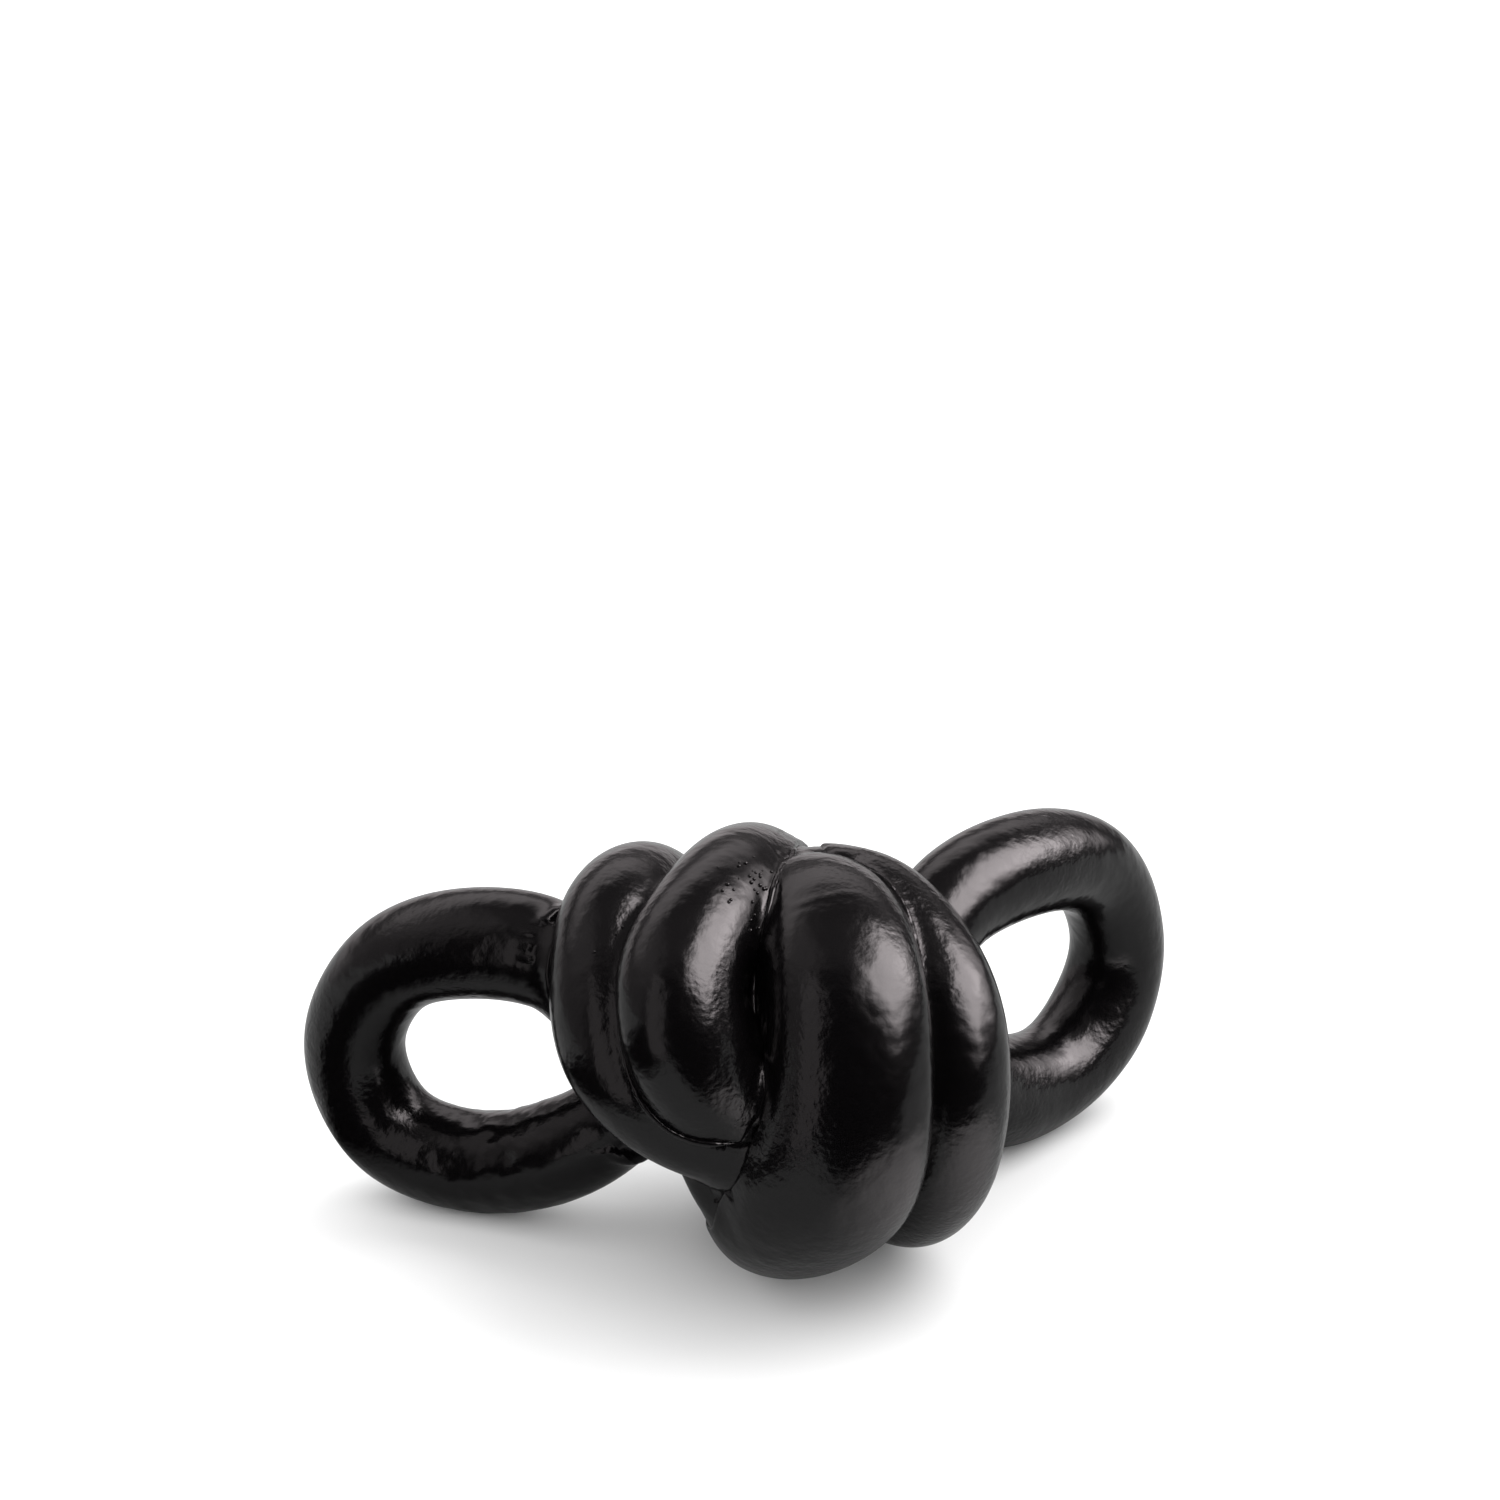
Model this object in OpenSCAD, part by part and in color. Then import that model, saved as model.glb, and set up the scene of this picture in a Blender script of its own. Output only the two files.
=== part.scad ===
/* [Strand] */
// Diameter of the cast strand where it shows
strand_d = 28; // [20:0.5:36]
// Gap left for the enamel between strands that lie side by side
seam_gap = 0.6; // [0.4:0.1:1.5]
// How much the strand is slimmed all round where it is hidden in the knot
core_relief = 3.4; // [2.5:0.1:4.5]
// How much the broad front wrap is widened on each side
broad_swell = 5; // [2:0.5:6]

/* [Joints between the cast sections] */
// Diameter of the register spigot on one end of each section
spigot_d = 10; // [6:0.5:13]
// Length of the register spigot
spigot_h = 7; // [4:0.5:8]
// Radial clearance of the spigot in its socket
spigot_fit = 0.05; // [0.02:0.01:0.1]
// Extra depth of the socket past the spigot's end
socket_end_gap = 0.5; // [0.2:0.1:1]

/* [Feet] */
// Depth ground off the lowest points so that the knot stands without rocking
foot_grind = 0.8; // [0.5:0.1:1.5]

/* [Hidden] */

// Distance between the centre lines of strands that lie side by side
pitch = strand_d + seam_gap;
// Number of sides of the strand's section
sides = 20;
// Number of rings of the sweep for each step of the route
rings_per_step = 3;
// Number of sides of the spigots and sockets
spigot_sides = 48;
// Small step along the route, for the direction in which the strand runs
small_step = 0.01;
// Step along the route for measuring how far the strand reaches
reach_step = 0.1;
enamel_black = "#161416";

// The one closed centre line of the strand, tied as a doubled overhand knot.
// Each row is x, y, z in pitches from the middle of the knot, with x to the right,
// y to the back and z up. The fourth value is 0 for the plain strand, goes down to -1
// where the strand is slimmed in the core and up to 1 where the front wrap is broad.
ROUTE = [
  // left loop, from its far left over the top into the knot
  [-4.10, 1.10, -0.50, 0], [-3.70, 1.00, 0.35, 0], [-2.95, 0.75, 0.75, 0], [-2.10, 0.50, 0.65, 0],
  // through the core to the top
  [-1.50, 0.15, 0.30, -1], [-0.40, -0.10, 0.45, -1],
  // broad wrap down the front
  [0.30, -0.40, 1.30, -1], [0.45, -1.10, 1.25, 0.3], [0.60, -1.65, 0.40, 0.8],
  [0.50, -1.65, -0.50, 1], [0.25, -1.00, -1.30, 0.6],
  // under the knot and up the back
  [-0.10, -0.05, -1.58, 0], [-0.55, 0.85, -1.30, 0], [-0.80, 1.40, -0.45, 0], [-0.95, 1.35, 0.45, 0],
  // over the top as the leftmost wrap, down the front and in under the broad wrap
  [-1.20, 0.75, 1.20, 0], [-1.45, -0.10, 1.35, 0], [-1.60, -0.70, 0.95, 0], [-1.50, -1.05, 0.45, 0],
  [-0.90, -1.05, -0.20, -0.5],
  // through the core to the lower right
  [-0.30, -0.55, -0.60, -1], [0.30, 0.00, -0.55, -1], [0.95, 0.50, -0.50, -1], [1.55, 1.20, -0.85, -0.8],
  // right loop, out along the bottom and back over the top
  [2.10, 1.85, -1.45, 0], [2.80, 2.50, -1.58, 0], [3.35, 3.00, -1.15, 0], [3.50, 3.20, -0.35, 0],
  [3.15, 2.90, 0.50, 0], [2.45, 2.20, 0.95, 0], [1.60, 1.35, 0.85, 0],
  // through the core to the front
  [1.10, 0.45, 0.30, -1], [0.70, -0.25, 0.25, -1], [0.10, -0.75, 0.15, -1],
  // up the front as the second wrap and over the top
  [-0.40, -1.20, 0.40, -1], [-0.70, -1.50, 0.90, 0], [-0.85, -1.25, 1.35, 0], [-0.55, -0.45, 1.70, 0],
  // down the back
  [-0.30, 0.40, 1.55, 0], [-0.10, 1.20, 1.00, 0], [0.20, 1.55, 0.10, 0], [0.30, 1.35, -0.75, 0],
  // under the knot and up the front as the rightmost wrap
  [0.75, 0.60, -1.42, 0], [1.20, -0.25, -1.35, 0], [1.45, -0.85, -0.75, 0], [1.50, -1.00, 0.10, 0],
  [1.40, -0.65, 0.85, 0], [1.10, -0.05, 1.30, -0.2],
  // through the core to the lower left
  [0.60, 0.40, 1.15, -0.8], [0.15, 0.45, 0.35, -1], [-0.50, 0.50, -0.20, -1], [-1.20, 0.40, -0.65, -1],
  // left loop, out along the bottom
  [-1.95, 0.40, -1.20, 0], [-2.85, 0.70, -1.58, 0], [-3.75, 0.95, -1.35, 0],
];
count = len(ROUTE);

// Stations on the route, in rows, where one cast section ends and the next begins
LEFT_LOWER_JOINT = 51.5;
LEFT_UPPER_JOINT = 58.5;
BROAD_TOP_JOINT = 6;
BOTTOM_A_JOINT = 12;
TOP_A_JOINT = 15;
TAIL_1_JOINT = 19.5;
RIGHT_LOWER_JOINT = 23.5;
RIGHT_UPPER_JOINT = 30.5;
TAIL_2_JOINT = 34;
TOP_B_JOINT = 38;
BOTTOM_B_JOINT = 42;
WRAP_4_TOP_JOINT = 47.5;

function unit(v) = v / norm(v);
function row(i) = ROUTE[(i + count) % count];

// Smooth curve through the rows of the route, at station t
function along(t) =
  let (i = floor(t), u = t - i, a = row(i - 1), b = row(i), c = row(i + 1), d = row(i + 2))
  (2 * b + (c - a) * u + (2 * a - 5 * b + 4 * c - d) * u * u + (3 * b - a - 3 * c + d) * u * u * u) / 2;
function fullness(t) = along(t)[3];
function half_width(t) =
  let (f = fullness(t)) strand_d / 2 + (f > 0 ? f * broad_swell : max(f, -1) * core_relief);
function half_depth(t) = strand_d / 2 + max(-1, min(0, fullness(t))) * core_relief;
function centre(t) = let (p = along(t)) [p[0], p[1], p[2]] * pitch;
function heading(t) = unit(centre(t + small_step) - centre(t - small_step));

// Direction across the section: the part of the named direction that is square to the strand
ALONG_KNOT = [1, 0, 0];
ACROSS_KNOT = [0, 1, 0];
function across(t, side) = let (h = heading(t)) unit(side - (side * h) * h);

// How far the strand reaches along an axis, for the frame's origin
STATIONS = [for (t = [0 : reach_step : count - reach_step]) t];
function reach(axis, side) =
  max([for (t = STATIONS) side * centre(t)[axis] + half_depth(t) * sqrt(1 - pow(heading(t)[axis], 2))]);
middle_x = (reach(0, -1) - reach(0, 1)) / 2;
middle_y = (reach(1, -1) - reach(1, 1)) / 2;
// The lowest rows of the route lie one strand radius, less the grinding, above the ground
lowest_row = min([for (r = ROUTE) r[2]]) * pitch;
middle_z = strand_d / 2 - lowest_row - foot_grind;
function place(t) = centre(t) + [middle_x, middle_y, middle_z];

// Points of the strand's section at station t, counter-clockwise seen from ahead
function ring(t, side) =
  let (p = place(t), x = across(t, side), y = cross(heading(t), x), w = half_width(t), d = half_depth(t))
  [for (k = [0 : sides - 1]) p + w * cos(360 * k / sides) * x + d * sin(360 * k / sides) * y];

// One stretch of the strand, half a step longer than the section at each end
module long_stretch(from, to, side) {
  inner_steps = ceil((to - from) * rings_per_step);
  steps = inner_steps + 1;
  stations = [for (i = [0 : steps]) from + (to - from) * (i - 0.5) / inner_steps];
  points = [for (t = stations) each ring(t, side)];
  ends = [place(stations[0]), place(stations[steps])];
  last = steps * sides;
  tail_centre = len(points);
  head_centre = tail_centre + 1;
  wall = [for (i = [0 : steps - 1], k = [0 : sides - 1])
    let (a = i * sides + k, b = i * sides + (k + 1) % sides)
    each [[a, a + sides, b], [b, a + sides, b + sides]]];
  tail_face = [for (k = [0 : sides - 1]) [tail_centre, k, (k + 1) % sides]];
  head_face = [for (k = [0 : sides - 1]) [head_centre, last + (k + 1) % sides, last + k]];
  polyhedron(concat(points, ends), concat(wall, tail_face, head_face), convexity = 8);
}

// Frame at station t with z along the strand
module at_station(t) {
  z = heading(t);
  x = across(t, ACROSS_KNOT);
  y = cross(z, x);
  p = place(t);
  multmatrix([[x[0], y[0], z[0], p[0]], [x[1], y[1], z[1], p[1]], [x[2], y[2], z[2], p[2]], [0, 0, 0, 1]])
    children();
}

// Register spigot that stands on a section's far end; its root is buried in the section
module spigot(t) {
  root = spigot_h / 2;
  at_station(t) translate([0, 0, -root])
    cylinder(d = spigot_d, h = root + spigot_h, $fn = spigot_sides);
}

// Socket in a section's near end for the spigot of the section before it
module socket(t) {
  mouth = 1;
  depth = spigot_h + socket_end_gap;
  at_station(t) translate([0, 0, -mouth])
    cylinder(d = spigot_d + 2 * spigot_fit, h = mouth + depth, $fn = spigot_sides);
}

// Block that trims a section's end flat: side is 1 for its far end and -1 for its near end
module end_trim(t, side) {
  width = 1.5 * strand_d;
  depth = strand_d / 2;
  at_station(t) translate([-width / 2, -width / 2, side > 0 ? 0 : -depth]) cube([width, width, depth]);
}

// Everything below the ground, for the ground feet
module below_ground() {
  half_slab = 8 * strand_d;
  translate([-half_slab, -half_slab, -strand_d]) cube([2 * half_slab, 2 * half_slab, strand_d]);
}

// A cast section: a stretch of strand, its spigot ahead and its socket behind
module cast_section(from, to, side) {
  difference() {
    union() {
      difference() {
        long_stretch(from, to, side);
        end_trim(from, -1);
        end_trim(to, 1);
      }
      spigot(to);
    }
    socket(from);
  }
}

// A cast section with a foot ground flat on its lowest point
module ground_section(from, to, side) {
  difference() {
    cast_section(from, to, side);
    below_ground();
  }
}

module left_loop() {
  color(enamel_black) ground_section(LEFT_LOWER_JOINT, LEFT_UPPER_JOINT, ACROSS_KNOT);
}

module left_upper_core() {
  color(enamel_black) cast_section(LEFT_UPPER_JOINT - count, BROAD_TOP_JOINT, ACROSS_KNOT);
}

module wrap_3() {
  color(enamel_black) ground_section(BROAD_TOP_JOINT, BOTTOM_A_JOINT, ALONG_KNOT);
}

module back_strand_a() {
  color(enamel_black) cast_section(BOTTOM_A_JOINT, TOP_A_JOINT, ALONG_KNOT);
}

module wrap_1() {
  color(enamel_black) cast_section(TOP_A_JOINT, TAIL_1_JOINT, ALONG_KNOT);
}

module right_lower_core() {
  color(enamel_black) cast_section(TAIL_1_JOINT, RIGHT_LOWER_JOINT, ACROSS_KNOT);
}

module right_loop() {
  color(enamel_black) ground_section(RIGHT_LOWER_JOINT, RIGHT_UPPER_JOINT, ACROSS_KNOT);
}

module right_upper_core() {
  color(enamel_black) cast_section(RIGHT_UPPER_JOINT, TAIL_2_JOINT, ACROSS_KNOT);
}

module wrap_2() {
  color(enamel_black) cast_section(TAIL_2_JOINT, TOP_B_JOINT, ALONG_KNOT);
}

module back_strand_b() {
  color(enamel_black) cast_section(TOP_B_JOINT, BOTTOM_B_JOINT, ALONG_KNOT);
}

module wrap_4() {
  color(enamel_black) cast_section(BOTTOM_B_JOINT, WRAP_4_TOP_JOINT, ALONG_KNOT);
}

module left_lower_core() {
  color(enamel_black) cast_section(WRAP_4_TOP_JOINT, LEFT_LOWER_JOINT, ACROSS_KNOT);
}

left_loop();
left_upper_core();
wrap_3();
back_strand_a();
wrap_1();
right_lower_core();
right_loop();
right_upper_core();
wrap_2();
back_strand_b();
wrap_4();
left_lower_core();
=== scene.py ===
"""Looks of the metal knot sculpture: black enamelled strand sections, floor, light and camera."""

import math

import bpy
import numpy as np
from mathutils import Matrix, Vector, noise


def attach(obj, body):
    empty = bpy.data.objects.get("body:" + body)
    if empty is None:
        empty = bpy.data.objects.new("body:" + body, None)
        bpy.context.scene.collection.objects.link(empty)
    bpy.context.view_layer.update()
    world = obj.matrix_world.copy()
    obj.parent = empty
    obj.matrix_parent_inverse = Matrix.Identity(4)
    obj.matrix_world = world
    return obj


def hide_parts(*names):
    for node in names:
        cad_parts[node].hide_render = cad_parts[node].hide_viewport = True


bl_info = {
    "name": "Metal knot sculpture",
    "version": (1, 0, 0),
    "blender": (4, 5, 0),
    "location": "3D View > Sidebar > Knot",
    "description": "Builds the enamelled strand of the knot, its finish and its studio stage",
    "category": "Object",
}

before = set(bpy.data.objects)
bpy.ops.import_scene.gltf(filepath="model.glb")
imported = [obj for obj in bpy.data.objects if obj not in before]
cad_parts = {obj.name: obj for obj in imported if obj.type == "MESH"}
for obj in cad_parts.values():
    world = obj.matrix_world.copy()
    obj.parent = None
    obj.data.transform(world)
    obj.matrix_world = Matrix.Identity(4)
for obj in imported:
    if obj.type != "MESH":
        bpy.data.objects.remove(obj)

# Metres in a millimetre
MM = 0.001
# Distance between the centre lines of strands that lie side by side, in mm
PITCH = 28.6
# Middle of the knot in the frame, in mm
MIDDLE = np.array((8.46, -21.11, 58.39))
# Directions in which the widths of the strand's sections are measured
ALONG_KNOT = np.array((1.0, 0.0, 0.0))
ACROSS_KNOT = np.array((0.0, 1.0, 0.0))
# Direction that the front of the knot faces
FRONT = np.array((0.0, -0.89, 0.45))
# Direction in which the first two wraps' crease lies from the second wrap's front
DOWN_LEFT = np.array((-0.7, 0.0, -0.7))
# How far the seams stand forward from the creases, in mm
SEAM_RISE = 0.85

# The strand's closed centre line: x, y, z, half width and half depth, all in pitches
ROUTE = [
    # left loop, from its far left over the top into the knot
    (-4.10, 1.10, -0.50, 0.485, 0.485), (-3.70, 1.00, 0.35, 0.485, 0.485),
    (-2.95, 0.75, 0.72, 0.52, 0.52), (-2.10, 0.50, 0.70, 0.51, 0.51),
    # through the core to the top
    (-1.50, 0.15, 0.30, 0.40, 0.40), (-0.35, -0.20, 0.45, 0.40, 0.40),
    # broad wrap down the front
    (0.27, -0.20, 1.44, 0.60, 0.50), (0.50, -1.12, 1.33, 0.69, 0.49), (0.56, -1.60, 0.40, 0.73, 0.50),
    (0.38, -1.62, -0.50, 0.78, 0.50), (0.07, -0.97, -1.25, 0.72, 0.50),
    # under the knot and up the back
    (-0.05, -0.05, -1.56, 0.54, 0.50), (-0.55, 0.80, -1.30, 0.50, 0.50),
    (-0.75, 1.40, -0.45, 0.50, 0.50), (-0.95, 1.35, 0.45, 0.50, 0.50),
    # over the top as the leftmost wrap, down the front and in under the broad wrap
    (-1.22, 0.75, 1.20, 0.50, 0.50), (-1.48, -0.10, 1.38, 0.51, 0.50), (-1.56, -0.68, 1.00, 0.50, 0.50),
    (-1.43, -1.05, 0.45, 0.50, 0.50), (-0.86, -1.28, 0.00, 0.48, 0.48),
    # through the core to the lower right
    (-0.20, -1.24, -0.20, 0.44, 0.44), (0.30, 0.00, -0.55, 0.40, 0.40),
    (0.95, 0.50, -0.50, 0.40, 0.40), (1.55, 1.20, -0.90, 0.47, 0.47),
    # right loop, out along the bottom and back over the top
    (2.10, 1.85, -1.42, 0.56, 0.56), (2.80, 2.50, -1.52, 0.51, 0.51), (3.31, 2.97, -1.10, 0.52, 0.52),
    (3.49, 3.18, -0.35, 0.485, 0.485), (3.17, 2.91, 0.53, 0.485, 0.485), (2.45, 2.20, 0.92, 0.52, 0.52),
    (1.60, 1.35, 0.85, 0.49, 0.49),
    # through the core to the front
    (1.10, 0.50, 0.35, 0.40, 0.40), (0.65, -0.20, 0.30, 0.40, 0.40), (0.12, -0.95, 0.28, 0.42, 0.46),
    # up the front as the second wrap and over the top
    (-0.50, -1.36, 0.27, 0.52, 0.49), (-0.80, -1.49, 0.80, 0.56, 0.48), (-0.89, -1.25, 1.35, 0.55, 0.49),
    (-0.58, -0.45, 1.66, 0.52, 0.50),
    # down the back
    (-0.30, 0.40, 1.55, 0.50, 0.50), (-0.10, 1.20, 1.00, 0.50, 0.50), (0.20, 1.55, 0.10, 0.50, 0.50),
    (0.25, 1.35, -0.75, 0.50, 0.50),
    # under the knot and up the front as the rightmost wrap
    (0.75, 0.60, -1.42, 0.50, 0.50), (1.15, -0.25, -1.35, 0.50, 0.50), (1.40, -0.85, -0.75, 0.50, 0.50),
    (1.50, -1.00, 0.10, 0.50, 0.50), (1.40, -0.65, 0.85, 0.50, 0.50), (0.95, 0.00, 1.33, 0.48, 0.48),
    # through the core to the lower left
    (0.40, 0.22, 1.38, 0.46, 0.46), (0.15, 0.45, 0.35, 0.40, 0.40), (-0.50, 0.55, -0.20, 0.40, 0.40),
    (-1.20, 0.40, -0.65, 0.42, 0.42),
    # left loop, out along the bottom
    (-1.95, 0.40, -1.20, 0.49, 0.49), (-2.85, 0.70, -1.56, 0.49, 0.49), (-3.75, 0.95, -1.35, 0.485, 0.485),
]

# The second wrap is turned a little, so its flat side faces to the right of the front
WRAP_2_SIDE = np.array((0.93, 0.37, 0.0))
# Each section of the strand: its CAD node, first and last station on the route, and the
# direction in which its section's width is measured
SECTIONS = [
    ("left_loop", 51.5, 58.5, ACROSS_KNOT),
    ("left_upper_core", 58.5, 61.0, ACROSS_KNOT),
    ("wrap_3", 6.0, 12.0, ALONG_KNOT),
    ("back_strand_a", 12.0, 15.0, ALONG_KNOT),
    ("wrap_1", 15.0, 19.5, ALONG_KNOT),
    ("right_lower_core", 19.5, 23.5, ACROSS_KNOT),
    ("right_loop", 23.5, 30.5, ACROSS_KNOT),
    ("right_upper_core", 30.5, 34.0, ACROSS_KNOT),
    ("wrap_2", 34.0, 38.0, WRAP_2_SIDE),
    ("back_strand_b", 38.0, 42.0, ALONG_KNOT),
    ("wrap_4", 42.0, 47.5, ALONG_KNOT),
    ("left_lower_core", 47.5, 51.5, ACROSS_KNOT),
]
# Webs of metal that fill narrow gaps between turns: the node that each is part of, its name and its rows
# of x, y, z, half width and half depth, in pitches
WEBS = [
    ("left_loop", "left_loop_web", [
        (-1.90, 0.20, 1.00, 0.13, 0.40), (-1.94, 0.15, 0.73, 0.15, 0.50), (-1.86, 0.20, 0.40, 0.15, 0.58),
        (-1.74, 0.20, 0.09, 0.15, 0.60), (-1.56, 0.15, -0.39, 0.15, 0.58), (-1.40, 0.10, -0.80, 0.14, 0.45),
    ]),
    ("wrap_3", "wrap_3_crown", [
        (0.20, 0.85, 1.05, 0.34, 0.30), (0.20, 0.50, 1.38, 0.42, 0.36), (0.24, 0.10, 1.50, 0.50, 0.40),
        (0.34, -0.40, 1.47, 0.56, 0.42), (0.42, -0.80, 1.33, 0.50, 0.38),
    ]),
    ("wrap_3", "wrap_3_web", [
        (-0.10, -0.35, 1.56, 0.17, 0.16), (-0.20, -0.72, 1.36, 0.15, 0.15), (-0.22, -1.00, 1.08, 0.15, 0.15),
        (-0.21, -1.22, 0.80, 0.15, 0.15), (-0.20, -1.26, 0.52, 0.15, 0.15), (-0.19, -1.20, 0.28, 0.13, 0.13),
    ]),
    ("wrap_1", "wrap_1_web", [
        (-0.77, -0.98, -0.42, 0.24, 0.24), (-0.64, -1.08, -0.58, 0.28, 0.28),
        (-0.51, -1.12, -0.79, 0.30, 0.30), (-0.38, -1.10, -0.98, 0.30, 0.30),
        (-0.20, -1.00, -1.15, 0.25, 0.25),
    ]),
    ("wrap_1", "wrap_1_tail", [
        (-0.50, -1.38, 0.02, 0.16, 0.16), (-0.43, -1.42, -0.16, 0.19, 0.19),
        (-0.41, -1.42, -0.36, 0.20, 0.20), (-0.46, -1.32, -0.56, 0.20, 0.20),
        (-0.54, -1.15, -0.74, 0.22, 0.22),
    ]),
]
# Middle of the roughly cast patch on the left loop's lower limb, in pitches, and its reach in mm
ROUGH_PATCH = np.array((-2.75, 0.35, -1.20))
ROUGH_REACH = 21.0
# Sections inside the knot, which hardly show and are built more coarsely
HIDDEN = ("left_upper_core", "right_lower_core", "right_upper_core", "left_lower_core")
# Patches with beads of enamel: name, node, middle in pitches, reach in mm, beads per square metre and seed
BEADS = [
    ("beads_wrap_2", "wrap_2", (-0.30, -0.75, 1.95), 15.0, 120000.0, 4),
    ("beads_wrap_1", "wrap_1", (-1.32, -1.02, 1.40), 11.0, 160000.0, 7),
]
# Each seam, the node on which it rides and the direction from the front in which its crease lies
SEAMS = [
    ("seam_1_2", "wrap_2", DOWN_LEFT),
    ("seam_2_3", "wrap_2", ALONG_KNOT),
    ("seam_3_4", "wrap_3", ALONG_KNOT),
]

# Points of the smooth curve between two rows of the route
ROUTE_STEPS = 60
# Distance between samples of the strand's centre line, and the reach of the smoothing of its bends, in mm
STRAND_STEP = 0.5
BEND_SMOOTHING = 7.0
# Distance between samples of the strand and number of samples of a web where turns are looked for, in mm
FIELD_STEP = 1.6
FIELD_WEB_ROWS = 40
# How far along a sample a point may lie and still be measured against its section, in mm
SAMPLE_REACH = 3.0
# Length of the strand to each side of a ring that counts as its own turn, in mm
OWN_TURN = 45.0
# Passes that settle a fillet, and how fast it fades inside the neighbouring turn, in mm
FILLET_PASSES = 12
BURIED_FADE = 0.6
# Width of the casting's low lumps and of the two sizes of the rough patch's lumps, in mm, and the finer
# lumps' share
LUMP_SIZE = 17.0
ROUGH_SIZE = 5.5
FINE_ROUGH_SIZE = 2.6
FINE_ROUGH_SHARE = 0.4
# Lowest point of the skin above the floor, in mm
FLOOR_GAP = 0.05
# Length of strand that a web's rings are counted for, in mm
WEB_LENGTH = 60.0
HIDDEN_COARSER = 1.6
# Share of a ring's way round that is searched for a crease
CREASE_SEARCH = 0.4
# Passes that even out a seam's line, and the distance between its points, in m
SEAM_PASSES = 6
SEAM_SPACING = 0.0006
# Share of a seam over which each end thins out, and the number of its sides
SEAM_TAPER = 0.06
SEAM_SIDES = 10
# How a seam's thickness swells along its way: the swells per metre, their height and the least thickness
SEAM_SWELLS = 260.0
SWELL_HEIGHT = 0.7
SWELL_LEAST = 0.65
# Size of the smallest beads beside the largest, and how finely each is divided
SMALLEST_BEAD = 0.4
BEAD_DIVISIONS = 3
# Scale and edges of the patches in which the orange peel comes and goes, and the share that always stays
PEEL_PATCH_SCALE = 22.0
PEEL_PATCH_EDGES = (0.35, 0.65)
PEEL_LEAST = 0.2
# How strongly the enamel mirrors what is in front of it, and the roughness of all noise
ENAMEL_SPECULAR = 0.28
NOISE_ROUGHNESS = 0.4

# Soft panels of the studio: azimuth, elevation, half width, half height, edge softness, tilt, brightness
PANELS = [
    (104.0, 42.0, 27.0, 21.0, 0.5, -8.0, 13.5),
    (72.0, 24.0, 18.0, 13.0, 0.7, 0.0, 4.0),
    (-98.0, 25.0, 28.0, 42.0, 0.35, 0.0, 0.42),
    (0.0, 45.0, 60.0, 30.0, 0.8, 0.0, 0.2),
    (-22.0, 43.0, 40.0, 13.0, 0.7, 0.0, 1.5),
    (-20.0, 4.0, 50.0, 10.0, 0.5, 0.0, 1.0),
    (180.0, 80.0, 65.0, 23.0, 0.6, 0.0, 0.3),
]
# Slightly pink colour of the studio's light
LIGHT_TINT = (1.0, 0.92, 0.935)
# The white card's azimuth and elevation from the knot's middle, and its distance
CARD_PLACE = (-146.0, 14.0, 0.30)
# Strip of floor that leads to the card and stays bright in reflections, outside the painted shade: its
# direction and the direction across it
STRIP_AHEAD = (-0.42, -0.91, 0.0)
STRIP_ACROSS = (0.89, -0.45, 0.0)
# Distances at which the painted shade that darkens the floor in reflections starts and ends, in m: ahead
# along the strip, to its right, and to the left of the frame's middle
FLOOR_EDGE = (0.07, 0.17)
RIGHT_EDGE = (0.07, 0.11)
LEFT_EDGE = (0.105, 0.135)
LEFT = (-1.0, 0.0, 0.0)
# Direction to the floor at the far left, which is bright again in reflections, and where that starts, in m
FAR_LEFT = (-0.565, 0.826, 0.0)
FAR_LEFT_EDGE = (0.08, 0.11)
# Share of the floor's light that shows in reflections where the painted shade doesn't darken it
FLOOR_SHARE = 0.45
# Painted glow: a bright patch of floor at the right that only shows in reflections, a painted reflection in
# the enamel: its middle, its reach and its brightness
PAINTED_GLOW_PLACE = (0.12, -0.13, 0.0)
PAINTED_GLOW_REACH = 0.115
PAINTED_GLOW_LIGHT = 1.6
# Spread, azimuth and elevation of the lights on the floor, in degrees, and their distance in m
OVERHEAD_PLACE = (170.0, 60.0, 80.0)
WINDOW_PLACE = (60.0, 60.0, 50.0)
LIGHT_DISTANCE = 3.0
# Half width of the floor, in m
FLOOR_HALF = 9.0
# The camera's place from the knot's middle in pitches, its tilt and its angle of view in degrees
CAMERA_PLACE = (-0.2936, -22.2736, 11.3498)
CAMERA_TILT = 69.303
CAMERA_VIEW = 30.957


def unit(v):
    """The vectors at length 1."""
    return v / np.linalg.norm(v, axis=-1, keepdims=True)


def spline(a, b, c, d, u):
    """Smooth curve from b, at u = 0, to c, at u = 1, with a before it and d after it."""
    return 0.5 * (2 * b + (c - a) * u + (2 * a - 5 * b + 4 * c - d) * u**2 + (3 * b - a - 3 * c + d) * u**3)


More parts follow.
